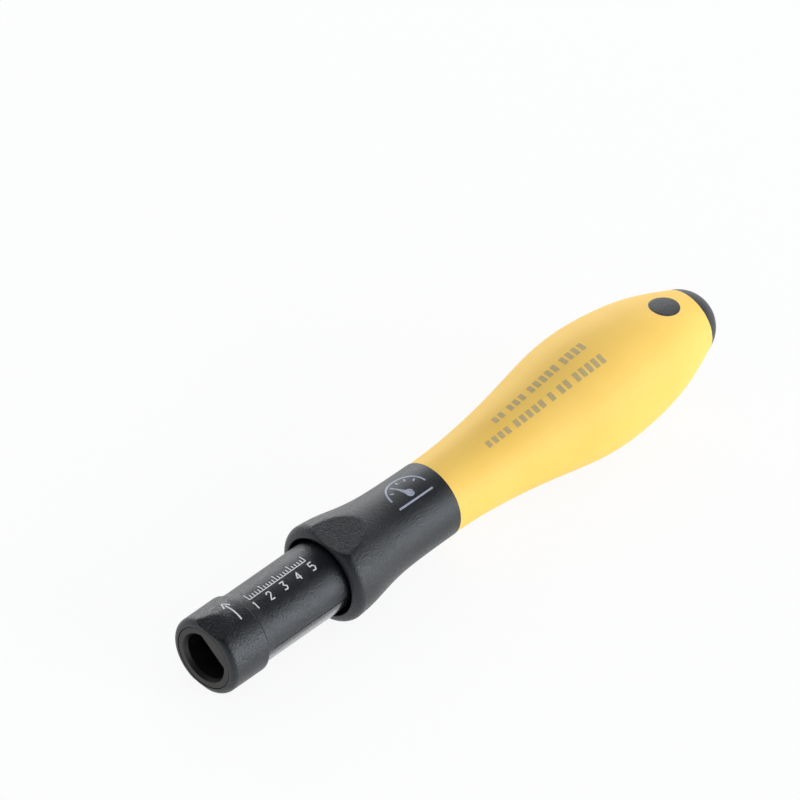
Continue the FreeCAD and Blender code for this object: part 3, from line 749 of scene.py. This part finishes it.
# ---- inlay on the grip -----------------------------------------------------------------------------
# Plain black oval let into the top of the grip near the tail, a hair proud of the soft surface. A
# moulded insert of the core's plastic, held by the elastomer round it.
INLAY_DEPTH = 0.5
INLAY_RISE = 0.06
INLAY_EDGE = 0.25
INLAY_LAND = 0.88
INLAY_SPOKES = 72
inlay_low, inlay_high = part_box("grip_badge")
inlay_depth = -(inlay_low.x + inlay_high.x) / 2 / MM
inlay_half_length = (inlay_high.x - inlay_low.x) / 2 / MM
inlay_half_width = inlay_high.y / MM
ring_share = np.concatenate([[0], np.linspace(0.12, INLAY_LAND, 8), [0.94, 0.98, 1.0]])[:, None]
around = np.arange(INLAY_SPOKES)[None, :] * 2 * math.pi / INLAY_SPOKES
inlay_along = inlay_depth + inlay_half_length * ring_share * np.cos(around)
inlay_across = inlay_half_width * ring_share * np.sin(around)
past_land = ((ring_share - INLAY_LAND) / (1 - INLAY_LAND)).clip(0, 1)
dip = INLAY_EDGE * (1 - np.sqrt(np.clip(1 - past_land ** 2, 0, 1)))
outline = grip_radius_at(inlay_along.ravel()).reshape(inlay_along.shape)
inlay_angle = math.pi / 2 + inlay_across / outline
top = turned_grid(inlay_along, outline + INLAY_RISE - dip, inlay_angle)
bottom = turned_grid(inlay_along, outline - INLAY_DEPTH, inlay_angle)
rows = len(ring_share)
behind = rows * INLAY_SPOKES
faces = grid_faces(rows, INLAY_SPOKES, wrap_rows=False).reshape(-1, 4)
rim = behind - INLAY_SPOKES + np.arange(INLAY_SPOKES)
wall = np.stack([rim, np.roll(rim, -1), np.roll(rim, -1) + behind, rim + behind], 1)
faces = np.vstack([faces, faces[:, ::-1] + behind, wall])
points = np.concatenate([top.reshape(-1, 3), bottom.reshape(-1, 3)])
inlay = piece("grip_inlay", points, faces, core_black, "handle")
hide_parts("grip_badge")

# ---- end cap ---------------------------------------------------------------------------------------
# Black moulded dome with the key's hole through it, of the same plastic as the core. Its spigot is
# pressed into the core's rear end, and its outside carries the grip's line on to the tail.
CAP_RIM = 0.12
DOME_ROWS = 24
cap_length = tail_end - grip_rear
rim_radius = KEY_BORE + CAP_RIM
dome_centre = (tail_end ** 2 + rim_radius ** 2 - grip_rear ** 2 - TAIL ** 2) / (2 * cap_length)
dome_radius = math.hypot(tail_end - dome_centre, rim_radius)
dome_turn = np.linspace(math.atan2(TAIL, grip_rear - dome_centre),
                        math.atan2(rim_radius, tail_end - dome_centre), DOME_ROWS)
dome = np.stack([dome_centre + dome_radius * np.cos(dome_turn), dome_radius * np.sin(dome_turn)], 1)
cap_inside = spaced(rounded([
    tuple(dome[-1]) + (0,), (tail_end, KEY_BORE, 0), (spigot_front, KEY_BORE, 0),
    (spigot_front, SCREW_COLLAR, 0), (grip_rear, SCREW_COLLAR, 0), (grip_rear, TAIL, 0)]), INSIDE_STEP)
profile = np.vstack([dome, cap_inside[1:-1]])
end_cap = piece("tail_cap", turned_grid(profile[:, :1], profile[:, 1:], ANGLES),
                grid_faces(len(profile), COLUMNS), core_black, "handle")
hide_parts("end_cap")

# ---- printed marks ---------------------------------------------------------------------------------
# Pad-printed marks, a few hundredths of a millimetre of ink on the plastic: a turning arrow on the
# ring, a plain scale on the barrel, a gauge sign on the collar, dashes on the grip and lines on the
# scale sleeve.
INK_RISE = 0.025
INK_SINK = 0.03
POINTS_ACROSS = 5


def wide_line(path, widths):
    """Grid of points across a line: each point of the path, moved to both sides by half its width.

    The sideways direction at a point is square to the line from the point before to the one after.
    """
    path = np.asarray(path, float)
    runs = np.gradient(path, axis=0)
    runs /= np.hypot(*runs.T)[:, None]
    side = np.stack([-runs[:, 1], runs[:, 0]], 1)
    half = np.broadcast_to(np.asarray(widths, float), (len(path),))[:, None] / 2
    share = np.linspace(-1, 1, POINTS_ACROSS)
    return path[:, None] + side[:, None] * (half * share)[..., None]


def printed(name, lines, surface, centre_depth, facing, finish, body, steps=3):
    """Marks wrapped on a turned surface: along the axis from a depth, and round it as an arc length."""
    tops, faces, count = [], [], 0
    for path, widths in lines:
        path = np.asarray(path, float)
        share = np.linspace(0, len(path) - 1, (len(path) - 1) * steps + 1)
        number = np.arange(len(path))
        path = np.stack([np.interp(share, number, path[:, 0]), np.interp(share, number, path[:, 1])], 1)
        widths = np.interp(share, number, np.broadcast_to(np.asarray(widths, float), len(number)))
        flat = wide_line(path, widths)
        depth = centre_depth + flat[..., 0]
        middle = surface(np.array([centre_depth]), np.array([facing]))
        turn = facing + flat[..., 1] / middle
        radius = surface(depth.ravel(), turn.ravel()).reshape(depth.shape)
        tops += [turned_grid(depth, radius + INK_RISE, turn).reshape(-1, 3),
                 turned_grid(depth, radius - INK_SINK, turn).reshape(-1, 3)]
        faces.append(sheet_faces(*depth.shape) + count)
        count += 2 * depth.size
    made = piece(name, np.concatenate(tops), np.vstack(faces), finish, body)
    return made


def ink(name, first, second, roughness=0.5):
    """Ink with a mottled cover: colour and gloss vary with a fine noise, and so does its surface."""
    made, tree, shader = material(name, roughness)
    cover = noise(tree, placed(tree), 2600.0, 3.0)
    tree.links.new(tinted(tree, between(tree, cover, 0, 1), first, second), shader.inputs["Base Color"])
    tree.links.new(between(tree, cover, roughness - 0.06, roughness + 0.1), shader.inputs["Roughness"])
    bumped(tree, shader, cover, 0.000008, 0.4)
    return made


def arc(radius, start, end, count):
    """Points on a circle about the origin from one angle to another, in degrees."""
    turn = np.radians(np.linspace(start, end, count))
    return np.stack([radius * np.cos(turn), radius * np.sin(turn)], 1)


white_ink = ink("white_ink", (0.66, 0.67, 0.69), (0.8, 0.81, 0.82))
lilac_ink = ink("lilac_grey_ink", (0.3, 0.32, 0.42), (0.42, 0.44, 0.55))
grey_ink = ink("warm_grey_ink", (0.5, 0.39, 0.18), (0.58, 0.46, 0.23))
black_ink = ink("black_ink", (0.015, 0.015, 0.017), (0.03, 0.03, 0.032))

ARROW_DEPTH = 6.4
ARROW_FACING = math.radians(93)
arrow_lines = [([(0, -2.5), (0.1, -0.5), (0.0, 1.6)], 0.3), ([(0.75, 1.1), (0.0, 2.5)], (0.28, 0.24)),
               ([(-0.75, 1.1), (0.0, 2.5)], (0.28, 0.24))]
printed("turning_arrow", arrow_lines, lambda depth, turn: ring_radius + 0 * depth, ARROW_DEPTH,
        ARROW_FACING, white_ink, "handle")

NUMBER_LINES = {1: [(0.2, 1.2), (0.5, 1.6), (0.5, 0)],
                2: [(0, 1.2), (0.2, 1.55), (0.8, 1.55), (1, 1.15), (0, 0), (1, 0)],
                3: [(0, 1.6), (1, 1.6), (0.45, 0.95), (1, 0.5), (0.7, 0), (0, 0.1)],
                4: [(0.75, 0), (0.75, 1.6), (0, 0.5), (1, 0.5)],
                5: [(1, 1.6), (0.1, 1.6), (0.05, 0.9), (0.7, 0.95), (1, 0.5), (0.7, 0), (0, 0.05)]}
SCALE_DEPTH = 18.0
SCALE_HALF = 7.0
MARKS = 21
MARK_PITCH = 0.7
MARKS_TO_A_NUMBER = 5
LONG_MARK = 1.5
SHORT_MARK = 0.85
NUMBER_INSET = 0.45
NUMBER_WIDTH = 0.95
NUMBER_HEIGHT = 1.05
NUMBER_FOOT = -2.4
scale_lines = [([(-SCALE_HALF, 0), (SCALE_HALF, 0)], 0.16)]
for i in range(MARKS):
    place = -SCALE_HALF + MARK_PITCH * i
    length = SHORT_MARK if i % MARKS_TO_A_NUMBER else LONG_MARK
    scale_lines.append(([(place, 0), (place, length)], 0.2))
for number, line in NUMBER_LINES.items():
    place = -SCALE_HALF + MARKS_TO_A_NUMBER * MARK_PITCH * (number - 1) - NUMBER_INSET
    scale_lines.append(([(place + NUMBER_WIDTH * along, NUMBER_FOOT + NUMBER_HEIGHT * across)
                         for along, across in line], 0.24))
printed("barrel_scale_print", scale_lines, lambda depth, turn: tube_radius + 0 * depth, SCALE_DEPTH,
        ARROW_FACING, white_ink, "handle")


def collar_surface(depth, turn):
    """Radius of the collar's outside with its flats, as the moulding has it."""
    height = COLLAR_FLAT + COLLAR_FLAT_SLOPE * (depth - collar_front)
    return soft_min(collar_radius_at(depth), flat_radius(height, turn, math.pi / 2), COLLAR_BLEND)


GAUGE_DEPTH = 50.2
GAUGE_FACING = math.radians(85)
GAUGE_LINE = 0.36
gauge_lines = [(arc(4.2, 4, 176, 31), GAUGE_LINE), ([(0, -0.4), (-1.5, 2.7)], (1.2, 0.1)),
               (arc(0.65, 0, 350, 17), GAUGE_LINE), ([(-4.2, -1.6), (4.2, -1.6)], GAUGE_LINE)]
for degrees in (32, 61, 90, 119, 148):
    gauge_lines.append((np.vstack([arc(2.9, degrees, degrees, 1), arc(3.6, degrees, degrees, 1)]), 0.34))
printed("gauge_sign_print", gauge_lines, collar_surface, GAUGE_DEPTH, GAUGE_FACING, lilac_ink, "handle")

bar_rows = [(73.0, 97.0, (2, 3, 5, 4)), (68.5, 76.0, (4, 5, 1, 2, 5))]
DASH = 0.95
DASH_PITCH = 1.5
DASH_WIDTH = 1.3
for row, (start, degrees, words) in enumerate(bar_rows):
    lines, place = [], 0.0
    for dashes in words:
        for _ in range(dashes):
            lines.append(([(place, 0), (place + DASH, 0)], DASH_WIDTH))
            place += DASH_PITCH
        place += DASH_PITCH / 2
    printed(f"grip_bar_print_{row + 1}", lines, lambda depth, turn: grip_radius_at(depth), start,
            math.radians(degrees), grey_ink, "handle", steps=6)

sleeve_radius = reach("scale_sleeve")
sleeve_front, sleeve_rear = depths("scale_sleeve")
SLEEVE_MARKS = 15
SLEEVE_PITCH = 0.75
sleeve_lines = []
for i in range(SLEEVE_MARKS):
    place = -5.25 + SLEEVE_PITCH * i
    sleeve_lines.append(([(place, -1.0 if i % 7 else -1.9), (place, 0.4)], 0.14))
printed("scale_lines_print", sleeve_lines, lambda depth, turn: sleeve_radius + 0 * depth,
        (sleeve_front + sleeve_rear) / 2, math.radians(WINDOW_FACING), black_ink, "preload_nut")

# ---- table -----------------------------------------------------------------------------------------
# Plain pale table top. The tool lies on it on the collar's lower flat and on the grip's swell, so the
# table leans a little against the tool's own frame. It is not part of the object.
TABLE_HALF = 3000.0
TABLE_GLOW = 0.9
LIP_SETBACK = 0.3
REST_GAP = 0.02
REAR_REST = (-95.5, -11.54)
rest_front = (-collar_front - LIP_SETBACK, -(COLLAR_FLAT + REST_GAP))
slope = (rest_front[1] - REAR_REST[1]) / (rest_front[0] - REAR_REST[0])
corner_x = np.array([-TABLE_HALF, TABLE_HALF, TABLE_HALF, -TABLE_HALF])
corner_y = np.array([-TABLE_HALF, -TABLE_HALF, TABLE_HALF, TABLE_HALF])
corner_z = REAR_REST[1] + slope * (corner_x - REAR_REST[0])
table_mesh = bpy.data.meshes.new("table_top")
table_mesh.from_pydata(np.stack([corner_x, corner_y, corner_z], 1) * MM, [], [(0, 1, 2, 3)])
table = bpy.data.objects.new("table_top", table_mesh)
bpy.context.scene.collection.objects.link(table)
table_white = bpy.data.materials.new("table_white")
table_white.use_nodes = True
tree = table_white.node_tree
tree.nodes.clear()
path = add(tree, "LightPath")
seen = add(tree, "Math", {0: path.outputs["Is Camera Ray"], 1: path.outputs["Is Glossy Ray"]},
           operation="MAXIMUM").outputs["Value"]
seen = add(tree, "Math", {0: seen, 1: path.outputs["Is Transmission Ray"]},
           operation="MAXIMUM").outputs["Value"]
seen = add(tree, "Math", {0: seen, 1: TABLE_GLOW}, operation="MULTIPLY").outputs["Value"]
pale = add(tree, "BsdfDiffuse", {"Color": (0.93, 0.96, 1.0, 1)})
glow = add(tree, "Emission", {"Color": (1, 1, 1, 1), "Strength": 1.0})
mixed = add(tree, "MixShader", {0: seen, 1: pale.outputs[0], 2: glow.outputs[0]})
add(tree, "OutputMaterial", {"Surface": mixed.outputs[0]})
table.data.materials.append(table_white)

# ---- surroundings and lamps ------------------------------------------------------------------------
# A light tent: soft panels low on the right, on the left and behind, and a small one above. Reflections
# see it white near the horizon and darker overhead, and the view behind the tool is plain white.
world = bpy.data.worlds.new("white_surroundings")
bpy.context.scene.world = world
world.use_nodes = True
tree = world.node_tree
tree.nodes.clear()
path = add(tree, "LightPath")
seen = add(tree, "Math", {0: path.outputs["Is Camera Ray"], 1: path.outputs["Is Transmission Ray"]},
           operation="MAXIMUM").outputs["Value"]
height = add(tree, "SeparateXYZ", {"Vector": add(tree, "TexCoord").outputs["Generated"]}).outputs["Z"]
dimmer = add(tree, "MapRange", {"Value": height, "From Min": 0.1, "From Max": 0.62,
                                "To Min": 1.0, "To Max": 0.1}).outputs["Result"]
ambient = add(tree, "Background", {"Color": (0.95, 0.97, 1.0, 1), "Strength": 0.6})
tent = add(tree, "Background", {"Color": (0.97, 0.98, 1.0, 1), "Strength": dimmer})
white = add(tree, "Background", {"Color": (1, 1, 1, 1), "Strength": 1.0})
mixed = add(tree, "MixShader", {0: path.outputs["Is Glossy Ray"], 1: ambient.outputs[0], 2: tent.outputs[0]})
mixed = add(tree, "MixShader", {0: seen, 1: mixed.outputs[0], 2: white.outputs[0]})
add(tree, "OutputWorld", {"Surface": mixed.outputs[0]})


def panel(name, place, target, width, height, radiance):
    """Rectangular area lamp at a place, facing a target. Its power is radiance times pi times its area."""
    lamp = bpy.data.lights.new(name, "AREA")
    lamp.shape = "RECTANGLE"
    lamp.size, lamp.size_y = width, height
    lamp.energy = radiance * math.pi * width * height
    made = bpy.data.objects.new(name, lamp)
    bpy.context.scene.collection.objects.link(made)
    made.location = place
    made.rotation_euler = (Vector(target) - Vector(place)).to_track_quat("-Z", "Y").to_euler()


MIDDLE = (-0.06, 0, 0)
panel("right_panel", (-0.62, 1.0, 0.24), MIDDLE, 1.0, 0.42, 7.6)
panel("left_panel", (-0.62, -1.0, 0.2), MIDDLE, 0.9, 0.35, 5.6)
panel("high_panel", (-0.28, -0.5, 1.05), MIDDLE, 0.36, 0.36, 0.7)
panel("rear_panel", (-1.15, -0.45, 0.45), MIDDLE, 0.5, 0.3, 4.0)

# ---- camera ----------------------------------------------------------------------------------------
# A long lens on a stand well away from the tool, above and in front of its nose. It is rolled a little,
# and aimed beside the nose so that the whole tool is in view.
AZIMUTH = math.radians(37.55)
ELEVATION = math.radians(46.55)
ROLL = math.radians(8.6)
DISTANCE = 5.0
LENS = 1298.25
AIM_RIGHT = 0.034073
AIM_UP = 0.044731
SENSOR = 36.0
towards = Vector((math.cos(ELEVATION) * math.cos(AZIMUTH), math.cos(ELEVATION) * math.sin(AZIMUTH),
                  math.sin(ELEVATION)))
level_right = Vector((0, 0, 1)).cross(towards).normalized()
level_up = towards.cross(level_right)
right = level_right * math.cos(ROLL) + level_up * math.sin(ROLL)
up = level_up * math.cos(ROLL) - level_right * math.sin(ROLL)
aim = right * AIM_RIGHT + up * AIM_UP
camera_data = bpy.data.cameras.new("view")
camera_data.sensor_width = SENSOR
camera_data.lens = LENS
camera_data.clip_start, camera_data.clip_end = 0.1, 20.0
camera = bpy.data.objects.new("view", camera_data)
bpy.context.scene.collection.objects.link(camera)
turned = Matrix((right, up, towards)).transposed().to_4x4()
camera.matrix_world = Matrix.Translation(aim + towards * DISTANCE) @ turned
bpy.context.scene.camera = camera
bpy.context.scene.view_settings.view_transform = "Standard"
